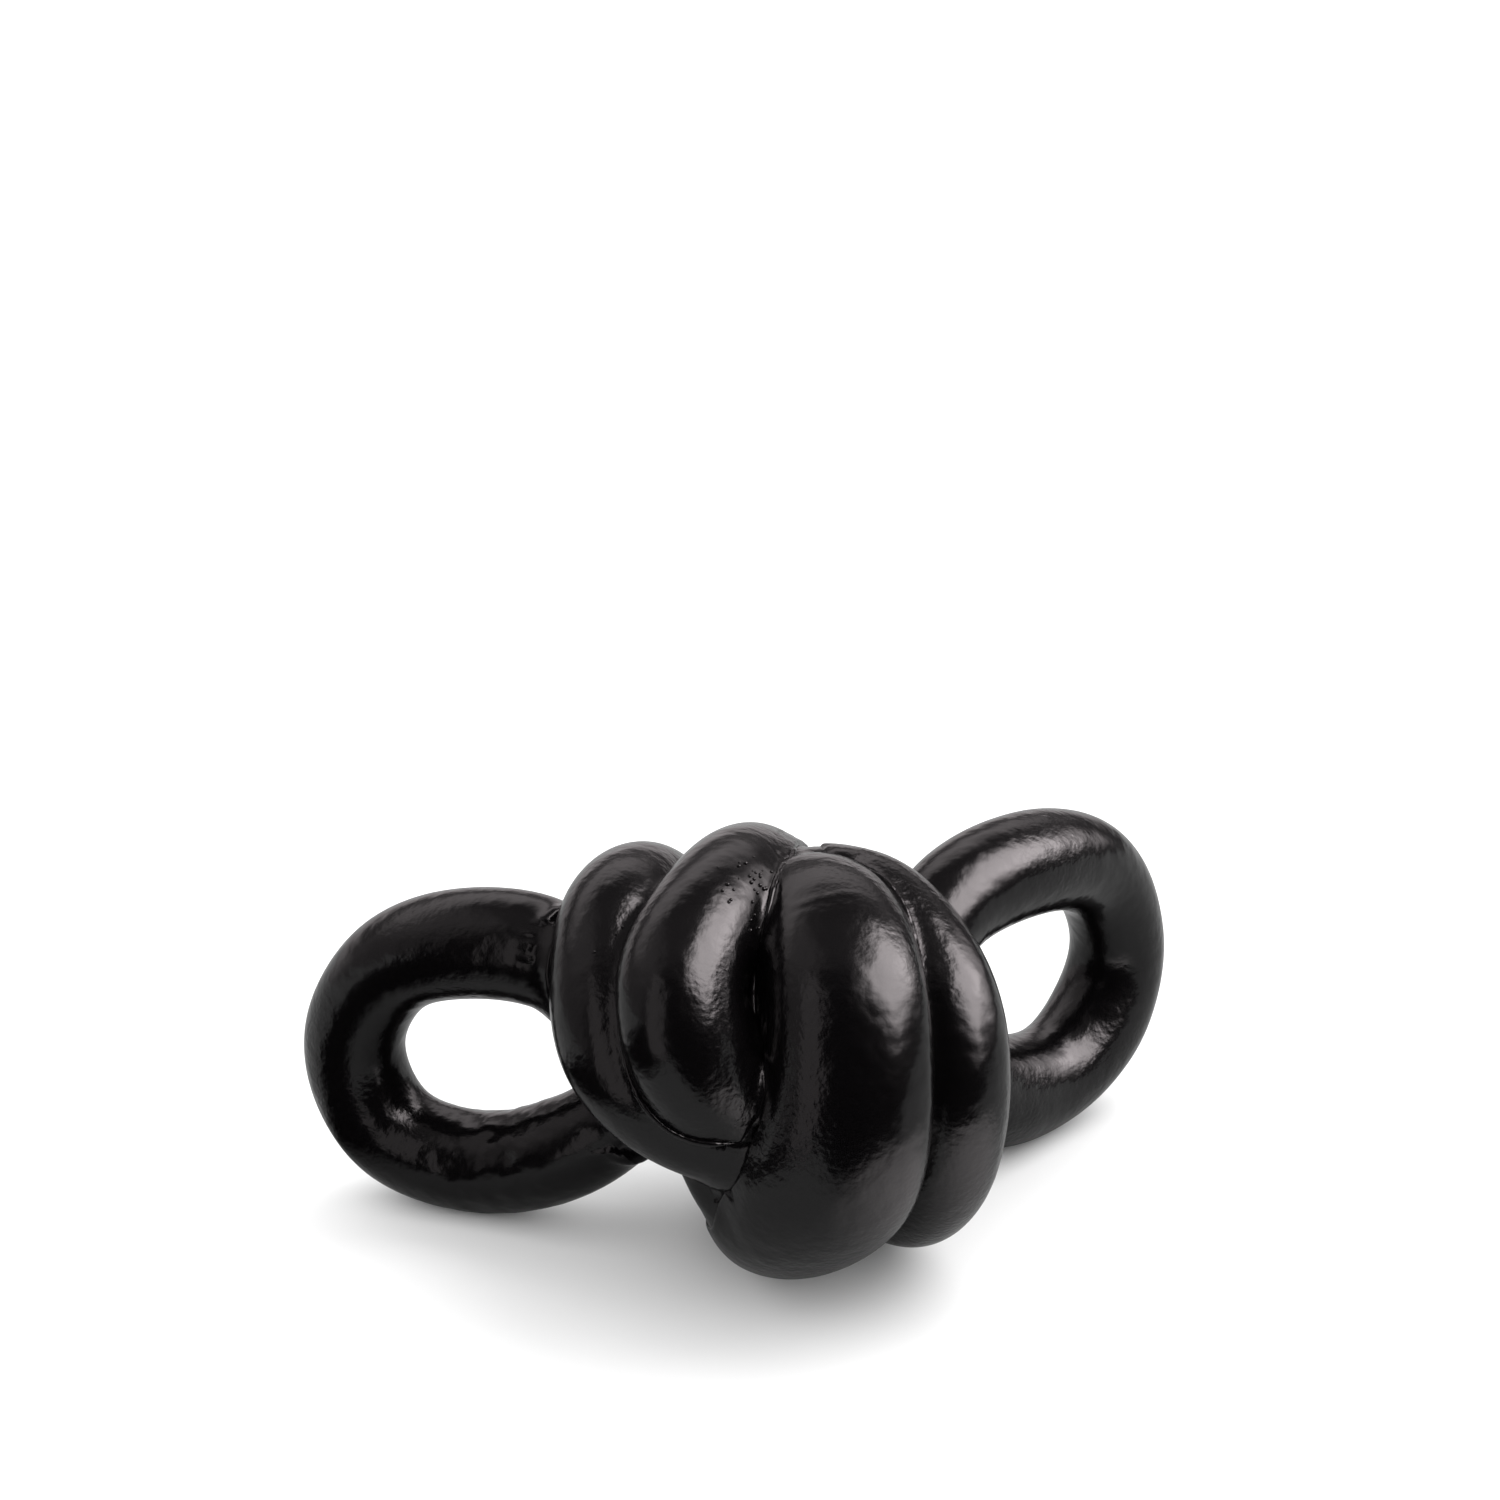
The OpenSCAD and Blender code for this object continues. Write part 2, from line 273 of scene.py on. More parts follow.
class Strand:
    """The strand's smoothed centre line, sampled evenly along its length, in mm."""

    def __init__(self, step):
        rows = np.array(ROUTE)
        rows[:, :3] = rows[:, :3] * PITCH + MIDDLE
        rows[:, 3:] *= PITCH
        count = len(rows)
        t = np.arange(count * ROUTE_STEPS) / ROUTE_STEPS
        i = np.floor(t).astype(int)
        u = (t - i)[:, None]
        curve = spline(*(rows[(i + k) % count] for k in (-1, 0, 1, 2)), u)
        gap = np.linalg.norm(np.roll(curve[:, :3], -1, axis=0) - curve[:, :3], axis=1)
        length = np.concatenate([[0], np.cumsum(gap)])
        self.total = length[-1]
        self.count = int(self.total / step)
        s = np.arange(self.count) * self.total / self.count
        loop = np.vstack([curve, curve[:1]])
        even = np.stack([np.interp(s, length, loop[:, k]) for k in range(5)], axis=1)
        # Smooth twice and add back what one pass takes off, so bends keep their size
        once = self.smooth(even, BEND_SMOOTHING)
        even = 2 * once - self.smooth(once, BEND_SMOOTHING)
        self.pos, self.width, self.depth = even[:, :3], even[:, 3], even[:, 4]
        self.s = s
        self.station = np.interp(s, length, np.append(t, count))
        self.heading = unit(np.roll(self.pos, -1, axis=0) - np.roll(self.pos, 1, axis=0))
        ref = np.zeros_like(self.pos)
        for _, first, last, side in SECTIONS:
            for lap in (0, count):
                inside = (self.station >= first - lap) & (self.station <= last - lap)
                ref[inside] = side
        self.side = unit(ref - (ref * self.heading).sum(1, keepdims=True) * self.heading)
        self.up = np.cross(self.heading, self.side)
        self.rows = count

    def smooth(self, values, sigma):
        """Gaussian smoothing round the closed strand."""
        wave = np.fft.rfftfreq(len(values), self.total / len(values))
        keep = np.exp(-2 * (math.pi * wave * sigma) ** 2)
        return np.fft.irfft(np.fft.rfft(values, axis=0) * keep[:, None], len(values), axis=0)

    def at(self, station):
        """Index, as a float, of a station on the strand."""
        lap = math.floor(station / self.rows)
        index = np.interp(station - lap * self.rows, self.station, np.arange(self.count))
        return float(index) + lap * self.count

    def rings(self, first, last, side, step):
        """Centres, frames and half sizes of a section's rings."""
        a, b = self.at(first), self.at(last)
        n = max(4, int((b - a) * self.total / self.count / step))
        k = np.linspace(a, b, n + 1)
        wrap = np.arange(self.count + 1)

        def pick(values):
            closed = np.concatenate([values, values[:1]])
            if closed.ndim == 1:
                return np.interp(k % self.count, wrap, closed)
            return np.stack([np.interp(k % self.count, wrap, column) for column in closed.T], axis=1)

        pos, heading = pick(self.pos), unit(pick(self.heading))
        x = unit(side - (heading @ side)[:, None] * heading)
        y = np.cross(heading, x)
        return k, pos, x, y, pick(self.width), pick(self.depth)


def through(rows, count):
    """Evenly stepped points of a smooth open curve through the rows."""
    rows = np.array(rows, float)
    padded = np.vstack([2 * rows[0] - rows[1], rows, 2 * rows[-1] - rows[-2]])
    t = np.linspace(0, len(rows) - 1 - 1e-6, count)
    i = np.floor(t).astype(int)
    u = (t - i)[:, None]
    return spline(*(padded[i + k] for k in range(4)), u)


def web_frames(rows, count):
    """Centres, directions, frames and half sizes of a web, in mm."""
    curve = through(rows, count)
    pos = curve[:, :3] * PITCH + MIDDLE
    heading = unit(np.gradient(pos, axis=0))
    side = unit(ALONG_KNOT - (heading @ ALONG_KNOT)[:, None] * heading)
    return pos, heading, side, np.cross(heading, side), curve[:, 3] * PITCH, curve[:, 4] * PITCH


class Field:
    """Distance to the other turns of the strand, for the soft creases where turns meet."""

    def __init__(self, strand, soft, web_soft):
        keep = slice(0, None, max(1, int(FIELD_STEP / (strand.total / strand.count))))
        values = (strand.pos, strand.heading, strand.side, strand.up, strand.width, strand.depth)
        turns = [value[keep] for value in values]
        webs = [web_frames(rows, FIELD_WEB_ROWS) for _, _, rows in WEBS]
        self.pos, self.heading, self.side, self.up, self.width, self.depth = (
            np.concatenate([turns[k]] + [web[k] for web in webs]) for k in range(6))
        web_count = len(self.pos) - len(turns[0])
        self.s, self.total = np.append(strand.s[keep], np.full(web_count, np.nan)), strand.total
        self.mean = (self.width + self.depth) / 2
        self.soft = np.append(np.full(len(turns[0]), soft), np.full(web_count, web_soft))

    def measure(self, points, own_s, apart):
        """Distance and outward direction from the nearest other turn, for points of one ring."""
        # The web has no place along the strand; it counts as apart from every turn but not from itself
        if own_s is None:
            idx = np.nonzero(~np.isnan(self.s))[0]
        else:
            away = np.abs(self.s - own_s)
            idx = np.nonzero(np.isnan(self.s) | (np.minimum(away, self.total - away) > apart))[0]
        diff = points[:, None, :] - self.pos[idx][None]
        near = np.sqrt((diff**2).sum(-1)) - self.mean[idx]
        j = idx[near.argmin(1)]
        r = points - self.pos[j]
        along = (r * self.heading[j]).sum(1, keepdims=True)
        past_end = np.abs(along[:, 0]) > SAMPLE_REACH
        r -= along * self.heading[j]
        u, v = (r * self.side[j]).sum(1), (r * self.up[j]).sum(1)
        w, d = self.width[j], self.depth[j]
        rho = np.sqrt((u / w) ** 2 + (v / d) ** 2) + 1e-9
        size = np.linalg.norm(r, axis=1)
        out = (u / w**2)[:, None] * self.side[j] + (v / d**2)[:, None] * self.up[j]
        dist = np.where(past_end, near.min(1), size * (1 - 1 / rho))
        return dist, out / (np.linalg.norm(out, axis=1, keepdims=True) + 1e-9), self.soft[j]


def fillet(points, normals, own_s, field, apart):
    """How far each point moves out along its normal to meet the neighbouring turn in a fillet, and the
    distance to that turn."""
    move, clear = np.zeros(points.shape[:2]), np.zeros(points.shape[:2])
    for r in range(len(points)):
        dist, out, soft = field.measure(points[r], own_s[r], apart)
        slope = (out * normals[r]).sum(1)
        t = np.zeros(len(dist))
        open_side = np.maximum(dist, 0)
        for _ in range(FILLET_PASSES):
            h = np.maximum(soft - np.abs(t - (open_side + slope * t)), 0) / soft
            t = 0.5 * t + 0.5 * np.minimum(h * h * soft / 4, soft / 3)
        move[r] = t * np.exp(np.minimum(dist, 0) / BURIED_FADE)
        clear[r] = dist
    return move, clear


def lumps(points, size, seed):
    """Smooth noise between -1 and 1 at each point."""
    shift = Vector((seed * 7.3, seed * 3.1, seed * 5.7))
    flat = points.reshape(-1, 3) / size
    return np.array([noise.noise(Vector(p) + shift) for p in flat]).reshape(points.shape[:2])


def tube_mesh(name, points, material):
    """Closed mesh of a tube whose rings are points[ring, side], in mm."""
    rings, sides = points.shape[:2]
    verts = points.reshape(-1, 3)
    ends = np.stack([points[0].mean(0), points[-1].mean(0)])
    i, k = np.meshgrid(np.arange(rings - 1), np.arange(sides), indexing="ij")
    a, b = i * sides + k, i * sides + (k + 1) % sides
    quads = np.stack([a, b, b + sides, a + sides], axis=-1).reshape(-1, 4)
    k = np.arange(sides)
    tail, head, last = len(verts), len(verts) + 1, (rings - 1) * sides
    faces = quads.tolist()
    faces += [(tail, (q + 1) % sides, q) for q in k.tolist()]
    faces += [(head, last + q, last + (q + 1) % sides) for q in k.tolist()]
    mesh = bpy.data.meshes.new(name)
    mesh.from_pydata((np.vstack([verts, ends]) * MM).tolist(), [], faces)
    mesh.polygons.foreach_set("use_smooth", np.ones(len(faces), bool))
    # The flat ends meet the round side at a sharp edge
    sharp = mesh.attributes.new("sharp_edge", "BOOLEAN", "EDGE")
    edges = np.empty(len(mesh.edges) * 2, int)
    mesh.edges.foreach_get("vertices", edges)
    edges = edges.reshape(-1, 2)
    on_tail = (edges < sides).all(1)
    on_head = ((edges >= last) & (edges < tail)).all(1)
    sharp.data.foreach_set("value", on_tail | on_head)
    mesh.materials.append(material)
    mesh.update()
    return mesh


def skin(pos, x, y, w, d, own_s, field, settings, step):
    """Skin round a line of rings, with its fillets, its lumps and its feet ground flat: its points, normals
    and clearances."""
    around = max(24, int(2 * math.pi * w.max() / step))
    angle = np.arange(around) * 2 * math.pi / around
    cos, sin = np.cos(angle)[None, :, None], np.sin(angle)[None, :, None]
    points = pos[:, None] + w[:, None, None] * cos * x[:, None] + d[:, None, None] * sin * y[:, None]
    normals = unit(d[:, None, None] * cos * x[:, None] + w[:, None, None] * sin * y[:, None])
    move, clear = fillet(points, normals, own_s, field, OWN_TURN)
    move += settings.lump_height / MM * lumps(points, LUMP_SIZE, 1)
    away = np.linalg.norm(points - (MIDDLE + PITCH * ROUGH_PATCH), axis=2)
    if away.min() < 2 * ROUGH_REACH:
        rough = np.exp(-((away / ROUGH_REACH) ** 2))
        coarse, small = lumps(points, ROUGH_SIZE, 2), lumps(points, FINE_ROUGH_SIZE, 3)
        move += settings.rough_height / MM * rough * (coarse + FINE_ROUGH_SHARE * small)
    points = points + move[..., None] * normals
    points[..., 2] = np.maximum(points[..., 2], FLOOR_GAP)
    return points, normals, clear


def section_skin(strand, field, settings, first, last, side, step):
    """Skin of the strand between two stations of its route."""
    k, pos, x, y, w, d = strand.rings(first, last, side, step)
    own_s = (k % strand.count) * strand.total / strand.count
    return skin(pos, x, y, w, d, own_s, field, settings, step)


def crease(points, normals, clear, toward):
    """Points where the skin meets its neighbour, going from the front to the side named by toward."""
    rings, sides = clear.shape
    found = []
    for r in range(rings):
        k = int((normals[r] @ FRONT).argmax())
        turn = 1 if (normals[r, (k + 3) % sides] - normals[r, k]) @ toward > 0 else -1
        for q in range(int(sides * CREASE_SEARCH)):
            here, after = (k + turn * q) % sides, (k + turn * (q + 1)) % sides
            if clear[r, here] > 0 >= clear[r, after]:
                found.append(points[r, here])
                break
    return np.array(found)


def new_object(name, mesh, node):
    """Put a finished mesh in the scene as a piece that stands for a node."""
    obj = bpy.data.objects.new(name, mesh)
    bpy.context.scene.collection.objects.link(obj)
    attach(obj, "root")
    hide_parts(node)


def link(tree, a, b):
    """Join two sockets of a node tree."""
    tree.links.new(a, b)


def peel_group():
    """Node group: height of the enamel's broad ripple and of the fine orange peel on it, from 0 to 1."""
    group = bpy.data.node_groups.new("enamel_peel", "ShaderNodeTree")
    face = group.interface
    face.new_socket("Vector", in_out="INPUT", socket_type="NodeSocketVector")
    for name, value in (("Ripple size", 0.005), ("Peel size", 0.0013), ("Peel share", 0.3)):
        face.new_socket(name, in_out="INPUT", socket_type="NodeSocketFloat").default_value = value
    face.new_socket("Height", in_out="OUTPUT", socket_type="NodeSocketFloat")
    inp, out = group.nodes.new("NodeGroupInput"), group.nodes.new("NodeGroupOutput")
    vector = inp.outputs["Vector"]
    ripple = noise_node(group, vector, math_node(group, "DIVIDE", 1.0, inp.outputs["Ripple size"]), 1.0)
    peel = noise_node(group, vector, math_node(group, "DIVIDE", 1.0, inp.outputs["Peel size"]), 2.0)
    # The peel is rough in some places and nearly gone in others
    patch = ramp_node(group, noise_node(group, vector, PEEL_PATCH_SCALE, 1.0), *PEEL_PATCH_EDGES)
    amount = math_node(group, "MULTIPLY_ADD", patch, 1.0 - PEEL_LEAST, PEEL_LEAST)
    amount = math_node(group, "MULTIPLY", inp.outputs["Peel share"], amount)
    height = math_node(group, "MULTIPLY_ADD", peel, amount, ripple)
    link(group, height, out.inputs["Height"])
    return group


def enamel_material(settings):
    """Glossy black enamel with its ripple and orange peel."""
    mat = bpy.data.materials.new("black_enamel")
    mat.use_nodes = True
    tree = mat.node_tree
    nodes = tree.nodes
    bsdf = nodes["Principled BSDF"]
    bsdf.inputs["Base Color"].default_value = (*settings.enamel_colour, 1.0)
    bsdf.inputs["Roughness"].default_value = settings.enamel_roughness
    bsdf.inputs["Specular IOR Level"].default_value = ENAMEL_SPECULAR
    coord = nodes.new("ShaderNodeTexCoord")
    peel = nodes.new("ShaderNodeGroup")
    peel.node_tree = peel_group()
    peel.inputs["Ripple size"].default_value = settings.ripple_size
    peel.inputs["Peel size"].default_value = settings.peel_size
    peel.inputs["Peel share"].default_value = settings.peel_height / settings.ripple_height
    link(tree, coord.outputs["Object"], peel.inputs["Vector"])
    bump = nodes.new("ShaderNodeBump")
    bump.inputs["Strength"].default_value = 1.0
    bump.inputs["Distance"].default_value = settings.ripple_height
    link(tree, peel.outputs["Height"], bump.inputs["Height"])
    link(tree, bump.outputs["Normal"], bsdf.inputs["Normal"])
    return mat


class KnotSettings(bpy.types.PropertyGroup):
    """Sizes and finish of the strand"""

    mesh_step: bpy.props.FloatProperty(
        name="Mesh step", description="Distance between points of the strand's skin", default=0.0008,
        unit="LENGTH")
    crease_fillet: bpy.props.FloatProperty(
        name="Crease fillet", description="Size of the fillets where turns of the strand meet", default=0.004,
        unit="LENGTH")
    web_fillet: bpy.props.FloatProperty(
        name="Web fillet", description="Size of the fillets round the webs", default=0.007, unit="LENGTH")
    seam_radius: bpy.props.FloatProperty(
        name="Seam radius", description="Radius of the raised seams in the creases", default=0.0009,
        unit="LENGTH")
    bead_radius: bpy.props.FloatProperty(
        name="Bead radius", description="Radius of the largest beads of enamel", default=0.0006,
        unit="LENGTH")
    lump_height: bpy.props.FloatProperty(
        name="Lump height", description="Height of the low lumps of the casting", default=0.0001,
        unit="LENGTH")
    rough_height: bpy.props.FloatProperty(
        name="Rough height", description="Height of the rough casting on the left loop", default=0.0005,
        unit="LENGTH")
    ripple_size: bpy.props.FloatProperty(
        name="Ripple size", description="Width of the ripples in the enamel", default=0.005, unit="LENGTH")
    ripple_height: bpy.props.FloatProperty(
        name="Ripple height", description="Height of the ripples in the enamel", default=0.0003,
        unit="LENGTH")
    peel_size: bpy.props.FloatProperty(
        name="Peel size", description="Width of the fine orange peel in the enamel", default=0.0013,
        unit="LENGTH")
    peel_height: bpy.props.FloatProperty(
        name="Peel height", description="Height of the fine orange peel", default=0.00015, unit="LENGTH")
    enamel_colour: bpy.props.FloatVectorProperty(
        name="Enamel colour", description="Colour of the enamel", default=(0.0012, 0.0010, 0.0012),
        subtype="COLOR")
    enamel_roughness: bpy.props.FloatProperty(
        name="Enamel roughness", description="Roughness of the enamel", default=0.2, subtype="FACTOR")


class StageSettings(bpy.types.PropertyGroup):
    """Floor, backdrop and light"""

    floor_colour: bpy.props.FloatVectorProperty(
        name="Floor colour", description="Colour of the floor", default=(0.8, 0.8, 0.8), subtype="COLOR")
    backdrop_light: bpy.props.FloatProperty(
        name="Backdrop light", description="Brightness of the pale backdrop", default=0.96)
    overhead_light: bpy.props.FloatProperty(
        name="Overhead light", description="Strength of the even light from above", default=5.3)
    window_light: bpy.props.FloatProperty(
        name="Window light", description="Strength of the soft light from behind at the right", default=1.8)
    card_light: bpy.props.FloatProperty(
        name="Card light", description="Brightness of the white card at the front left", default=0.9)
    card_size: bpy.props.FloatVectorProperty(
        name="Card size", description="Width and height of the white card", default=(0.12, 0.34), size=2,
        unit="LENGTH")


def build_sections(context, names):
    """Build the named sections and return each one's points, normals and clearances."""
    settings = context.scene.knot_settings
    step = settings.mesh_step / MM
    strand = Strand(STRAND_STEP)
    field = Field(strand, settings.crease_fillet / MM, settings.web_fillet / MM)
    material = bpy.data.materials.get("black_enamel") or enamel_material(settings)
    made = {}
    for name, first, last, side in [row for row in SECTIONS if row[0] in names]:
        coarser = (HIDDEN_COARSER if name in HIDDEN else 1.0) * 1.0
        fine = step * coarser
        made[name] = section_skin(strand, field, settings, first, last, side, fine)
        new_object(name + "_enamelled", tube_mesh(name, made[name][0], material), name)
        for _, web_name, rows in [web for web in WEBS if web[0] == name]:
            pos, _, x, y, w, d = web_frames(rows, int(WEB_LENGTH / fine))
            points, _, _ = skin(pos, x, y, w, d, [None] * len(pos), field, settings, fine)
            new_object(web_name, tube_mesh(web_name, points, material), name)
    return made


def geometry_group(name, lengths, others):
    """A new geometry nodes group with its inputs: lengths, and others given as name and type."""
    group = bpy.data.node_groups.new(name, "GeometryNodeTree")
    face = group.interface
    face.new_socket("Geometry", in_out="INPUT", socket_type="NodeSocketGeometry")
    for length in lengths:
        face.new_socket(length, in_out="INPUT", socket_type="NodeSocketFloat").subtype = "DISTANCE"
    for other, kind in others + [("Finish", "Material")]:
        face.new_socket(other, in_out="INPUT", socket_type="NodeSocket" + kind)
    face.new_socket("Geometry", in_out="OUTPUT", socket_type="NodeSocketGeometry")
    return group, group.nodes.new("NodeGroupInput"), group.nodes


def finish_group(group, inp, made):
    """End a geometry nodes group: real, smooth and painted with its finish."""
    nodes = group.nodes
    real = nodes.new("GeometryNodeRealizeInstances")
    smooth = nodes.new("GeometryNodeSetShadeSmooth")
    paint = nodes.new("GeometryNodeSetMaterial")
    out = nodes.new("NodeGroupOutput")
    link(group, made, real.inputs["Geometry"])
    link(group, real.outputs["Geometry"], smooth.inputs["Geometry"])
    link(group, smooth.outputs["Geometry"], paint.inputs["Geometry"])
    link(group, inp.outputs["Finish"], paint.inputs["Material"])
    link(group, paint.outputs["Geometry"], out.inputs["Geometry"])


def seam_group():
    """Geometry nodes: a thin raised seam along a line of points."""
    group, inp, nodes = geometry_group("raised_seam", ("Seam radius", "Point spacing"), [])
    curve = nodes.new("GeometryNodeMeshToCurve")
    link(group, inp.outputs["Geometry"], curve.inputs["Mesh"])
    even = nodes.new("GeometryNodeResampleCurve")
    even.mode = "LENGTH"
    link(group, curve.outputs["Curve"], even.inputs["Curve"])
    link(group, inp.outputs["Point spacing"], even.inputs["Length"])
    # The seam thins out towards both of its ends and swells a little along its way
    along = nodes.new("GeometryNodeSplineParameter")
    from_end = math_node(group, "PINGPONG", along.outputs["Factor"], 0.5)
    taper = ramp_node(group, from_end, 0.0, SEAM_TAPER)
    wobble = nodes.new("ShaderNodeTexNoise")
    wobble.noise_dimensions = "1D"
    wobble.inputs["Scale"].default_value = SEAM_SWELLS
    wobble.inputs["Detail"].default_value = 1.0
    link(group, along.outputs["Length"], wobble.inputs["W"])
    swell = math_node(group, "MULTIPLY_ADD", wobble.outputs["Fac"], SWELL_HEIGHT, SWELL_LEAST)
    share = math_node(group, "MULTIPLY", taper, swell)
    radius = math_node(group, "MULTIPLY", inp.outputs["Seam radius"], share)
    setter = nodes.new("GeometryNodeSetCurveRadius")
    link(group, even.outputs["Curve"], setter.inputs["Curve"])
    link(group, radius, setter.inputs["Radius"])
    ring = nodes.new("GeometryNodeCurvePrimitiveCircle")
    ring.inputs["Resolution"].default_value = SEAM_SIDES
    ring.inputs["Radius"].default_value = 1.0
    sweep = nodes.new("GeometryNodeCurveToMesh")
    link(group, setter.outputs["Curve"], sweep.inputs["Curve"])
    link(group, ring.outputs["Curve"], sweep.inputs["Profile Curve"])
    if "Scale" in sweep.inputs:
        link(group, radius, sweep.inputs["Scale"])
    sweep.inputs["Fill Caps"].default_value = True
    finish_group(group, inp, sweep.outputs["Mesh"])
    return group


def set_inputs(modifier, group, values):
    """Set a geometry nodes modifier's inputs by their names."""
    for item in group.interface.items_tree:
        if item.item_type == "SOCKET" and item.in_out == "INPUT" and item.name in values:
            modifier[item.identifier] = values[item.name]


def applied(name, mesh, group, values):
    """The mesh that a geometry nodes group makes from a starting mesh."""
    holder = bpy.data.objects.new(name, mesh)
    bpy.context.scene.collection.objects.link(holder)
    modifier = holder.modifiers.new("nodes", "NODES")
    modifier.node_group = group
    set_inputs(modifier, group, values)
    bpy.context.view_layer.update()
    deps = bpy.context.evaluated_depsgraph_get()
    made = bpy.data.meshes.new_from_object(holder.evaluated_get(deps))
    bpy.data.objects.remove(holder)
    if len(made.polygons) == 0:
        raise RuntimeError(name + " came out empty")
    return made


def evened(points, passes):
    """The line of points with its zigzags evened out; its ends stay."""
    for _ in range(passes):
        inner = 0.25 * points[:-2] + 0.5 * points[1:-1] + 0.25 * points[2:]
        points = np.vstack([points[:1], inner, points[-1:]])
    return points


def seam(name, points, node, settings, material):
    """A raised seam that rides on the named section."""
    points = evened(points, SEAM_PASSES) + SEAM_RISE * FRONT
    mesh = bpy.data.meshes.new(name + "_line")
    mesh.from_pydata((points * MM).tolist(), [(q, q + 1) for q in range(len(points) - 1)], [])
    group = bpy.data.node_groups.get("raised_seam") or seam_group()
    values = {"Seam radius": settings.seam_radius, "Point spacing": SEAM_SPACING, "Finish": material}
    new_object(name, applied(name + "_holder", mesh, group, values), node)


def bead_group():
    """Geometry nodes: small round beads of enamel, scattered over a patch of a skin."""
    others = [("Middle", "Vector"), ("Beads per square metre", "Float"), ("Seed", "Int")]
    group, inp, nodes = geometry_group("enamel_beads", ("Reach", "Bead radius"), others)
    apart = nodes.new("ShaderNodeVectorMath")
    apart.operation = "DISTANCE"
    link(group, nodes.new("GeometryNodeInputPosition").outputs["Position"], apart.inputs[0])
    link(group, inp.outputs["Middle"], apart.inputs[1])
    # Fewer beads towards the patch's edge
    share = math_node(group, "DIVIDE", apart.outputs["Value"], inp.outputs["Reach"])
    share = math_node(group, "SUBTRACT", 1.0, share)
    density = math_node(group, "MULTIPLY", math_node(group, "MAXIMUM", share, 0.0),
                        inp.outputs["Beads per square metre"])
    scatter = nodes.new("GeometryNodeDistributePointsOnFaces")
    link(group, inp.outputs["Geometry"], scatter.inputs["Mesh"])
    link(group, density, scatter.inputs["Density"])
    link(group, inp.outputs["Seed"], scatter.inputs["Seed"])
    bead = nodes.new("GeometryNodeMeshIcoSphere")
    bead.inputs["Radius"].default_value = 1.0
    bead.inputs["Subdivisions"].default_value = BEAD_DIVISIONS
    spread = nodes.new("FunctionNodeRandomValue")
    spread.inputs["Min"].default_value = SMALLEST_BEAD
    spread.inputs["Max"].default_value = 1.0
    size = next(socket for socket in spread.outputs if socket.enabled)
    place = nodes.new("GeometryNodeInstanceOnPoints")
    link(group, scatter.outputs["Points"], place.inputs["Points"])
    link(group, bead.outputs["Mesh"], place.inputs["Instance"])
    link(group, math_node(group, "MULTIPLY", size, inp.outputs["Bead radius"]), place.inputs["Scale"])
    finish_group(group, inp, place.outputs["Instances"])
    return group


def beads(name, node, middle, reach, density, seed, settings, material):
    """Beads of enamel on a built skin, round a middle in pitches and with their reach in mm."""
    group = bpy.data.node_groups.get("enamel_beads") or bead_group()
    values = {"Middle": (MIDDLE + PITCH * np.array(middle)) * MM, "Reach": reach * MM, "Seed": seed,
              "Beads per square metre": density, "Bead radius": settings.bead_radius, "Finish": material}
    skin_mesh = bpy.data.objects[node + "_enamelled"].data.copy()
    new_object(name, applied(name + "_holder", skin_mesh, group, values), node)


class KNOT_OT_loops(bpy.types.Operator):
    """Build the two loops that lie out at the sides"""

    bl_idname = "knot.loops"
    bl_label = "Loops"

    def execute(self, context):
        build_sections(context, ("left_loop", "right_loop"))
        return {"FINISHED"}


class KNOT_OT_wraps(bpy.types.Operator):
    """Build the four turns on the front of the knot"""

    bl_idname = "knot.wraps"
    bl_label = "Front wraps"

    def execute(self, context):
        made = build_sections(context, ("wrap_1", "wrap_2", "wrap_3", "wrap_4"))
        settings = context.scene.knot_settings
        material = bpy.data.materials["black_enamel"]
        for name, node, toward in SEAMS:
            seam(name, crease(*made[node], toward), node, settings, material)
        for name, node, middle, reach, density, seed in BEADS:
            beads(name, node, middle, reach, density, seed, settings, material)
        return {"FINISHED"}


class KNOT_OT_back(bpy.types.Operator):
    """Build the two strands on the back and the four inside the knot"""

    bl_idname = "knot.back"
    bl_label = "Back and core strands"

    def execute(self, context):
        build_sections(context, ("back_strand_a", "back_strand_b") + HIDDEN)
        return {"FINISHED"}


def math_node(tree, operation, a, b=0.0, c=0.0):
    """A math node whose inputs are sockets or numbers."""
    node = tree.nodes.new("ShaderNodeMath")
    node.operation = operation
    for socket, value in zip(node.inputs, (a, b, c)):
        if isinstance(value, bpy.types.NodeSocket):
            link(tree, value, socket)
        else:
            socket.default_value = value
    return node.outputs[0]


def noise_node(tree, vector, scale, detail):
    """Smooth noise between 0 and 1; the scale is a socket or a number."""
    node = tree.nodes.new("ShaderNodeTexNoise")
    link(tree, vector, node.inputs["Vector"])
    if isinstance(scale, bpy.types.NodeSocket):
        link(tree, scale, node.inputs["Scale"])
    else:
        node.inputs["Scale"].default_value = scale
    node.inputs["Detail"].default_value = detail
    node.inputs["Roughness"].default_value = NOISE_ROUGHNESS
    return node.outputs["Fac"]


def ramp_node(tree, value, low, high):
    """Smooth step from 0 at low to 1 at high."""
    node = tree.nodes.new("ShaderNodeMapRange")
    node.interpolation_type = "SMOOTHSTEP"
    link(tree, value, node.inputs["Value"])
    node.inputs["From Min"].default_value = low
    node.inputs["From Max"].default_value = high
    return node.outputs["Result"]


def dot_node(tree, vector, axis):
    """How far a vector reaches along an axis."""
    node = tree.nodes.new("ShaderNodeVectorMath")
    node.operation = "DOT_PRODUCT"
    link(tree, vector, node.inputs[0])
    node.inputs[1].default_value = axis
    return node.outputs["Value"]


